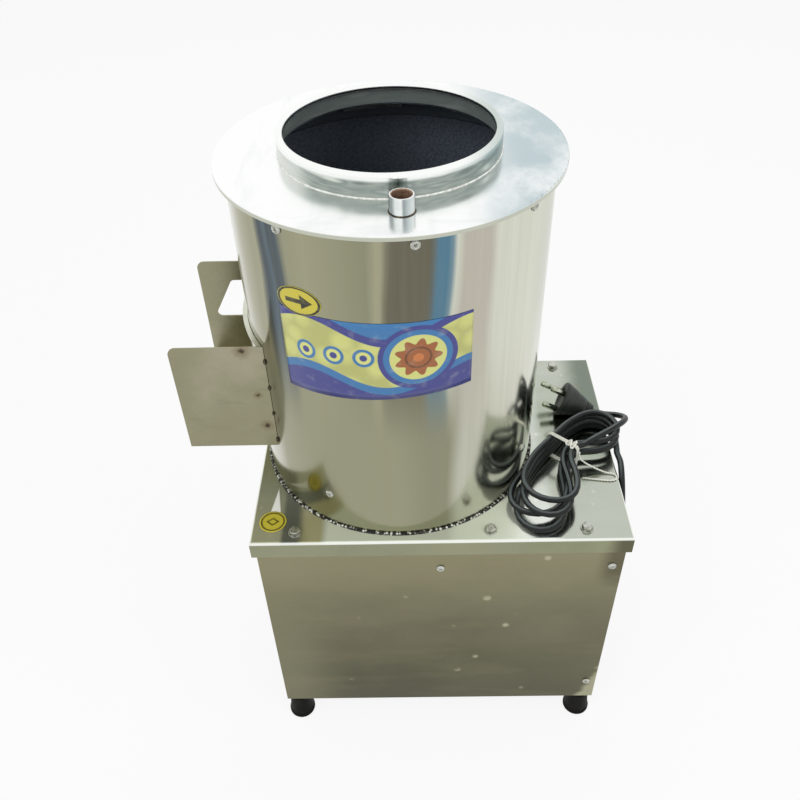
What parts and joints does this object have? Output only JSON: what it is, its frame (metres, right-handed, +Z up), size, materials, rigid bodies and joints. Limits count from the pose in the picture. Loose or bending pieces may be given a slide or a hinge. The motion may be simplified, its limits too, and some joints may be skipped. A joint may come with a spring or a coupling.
{
  "type": "potato peeling machine",
  "caption": "Floor-standing drum peeler: steel base with belt drive, turning wavy disc in a polished drum, lifting side gate with chute, water inlet, drain and coiled mains lead.",
  "frame": {"origin": "on the floor under the middle of the box-shaped base", "axes": "+Z up, +X to the machine's right as seen from the front, +Y to its rear"},
  "size_m": [0.5208, 0.3545, 0.742],
  "materials": {
    "polished_steel": "polished",
    "satin_steel": "satin",
    "panel_steel": "satin",
    "frame_paint": "matte",
    "zinc": "zinc plated",
    "iron": "machined and painted",
    "rubber": "matte",
    "disc_metal": "cast",
    "abrasive": "rough",
    "motor_paint": "semi gloss",
    "box_plastic": "matte",
    "cord_rubber": "matte",
    "plug_plastic": "matte",
    "brass": "polished",
    "twine": "twisted"
  },
  "bodies": {
    "base": {"frame_posts": "frame_paint", "lower_rails": "frame_paint", "motor_rails": "frame_paint", "front_panel": "panel_steel", "rear_panel": "panel_steel", "left_panel": "panel_steel", "right_panel": "panel_steel", "top_cover": "satin_steel", "cover_bolts": "zinc", "cover_nuts": "zinc", "panel_screws": "zinc", "foot_front_left": "rubber", "foot_front_right": "rubber", "foot_rear_left": "rubber", "foot_rear_right": "rubber", "foot_bolts": "zinc", "bearing_bridge": "frame_paint", "bearing_housing": "iron", "drive_bolts": "zinc", "shaft_bearings": "zinc", "shaft_seal": "rubber", "drum_base": "satin_steel", "drum_shell": "polished_steel", "base_bead": "abrasive", "sump_ring": "satin_steel", "drum_screws": "zinc", "abrasive_liner": "abrasive", "top_flange": "satin_steel", "flange_tabs": "satin_steel", "feed_collar": "satin_steel", "water_inlet": "satin_steel", "drain_spout": "satin_steel", "front_cheek": "satin_steel", "rear_cheek": "satin_steel", "chute_floor": "satin_steel", "gate_guides": "satin_steel", "drive_belt": "rubber", "motor_plate": "frame_paint", "motor_flange": "motor_paint", "motor_stator": "motor_paint", "motor_cowl": "motor_paint", "terminal_box": "box_plastic", "capacitor": "box_plastic", "cable_gland": "box_plastic", "inner_lead": "cord_rubber", "cord_lead": "cord_rubber", "cord_hank": "cord_rubber", "cord_tail": "cord_rubber", "plug_body": "plug_plastic", "plug_pins": "brass", "tie_band": "twine", "tie_tail": "twine"},
    "disc": {"drum_shaft": "zinc", "peeling_disc": "disc_metal", "disc_nut": "zinc", "shaft_pulley": "iron"},
    "motor": {"motor_shaft": "zinc", "motor_pulley": "iron"},
    "gate": {"discharge_gate": "polished_steel", "gate_handle": "satin_steel"}
  },
  "joints": [
    {"name": "disc_spin", "type": "hinge", "parent": "base", "child": "disc", "pos_m": [-0.043, 0.013, 0.3], "axis": [0, 0, 1], "continuous": true},
    {"name": "motor_spin", "type": "hinge", "parent": "base", "child": "motor", "pos_m": [0.107, 0.013, 0.25], "axis": [0, 0, 1], "continuous": true},
    {"name": "gate_lift", "type": "slide", "parent": "base", "child": "gate", "axis": [0, 0, 1], "range_m": [0, 0.105]}
  ],
  "couplings": [
    {"joint": "motor_spin", "follows": "disc_spin", "ratio": 3.913}
  ]
}
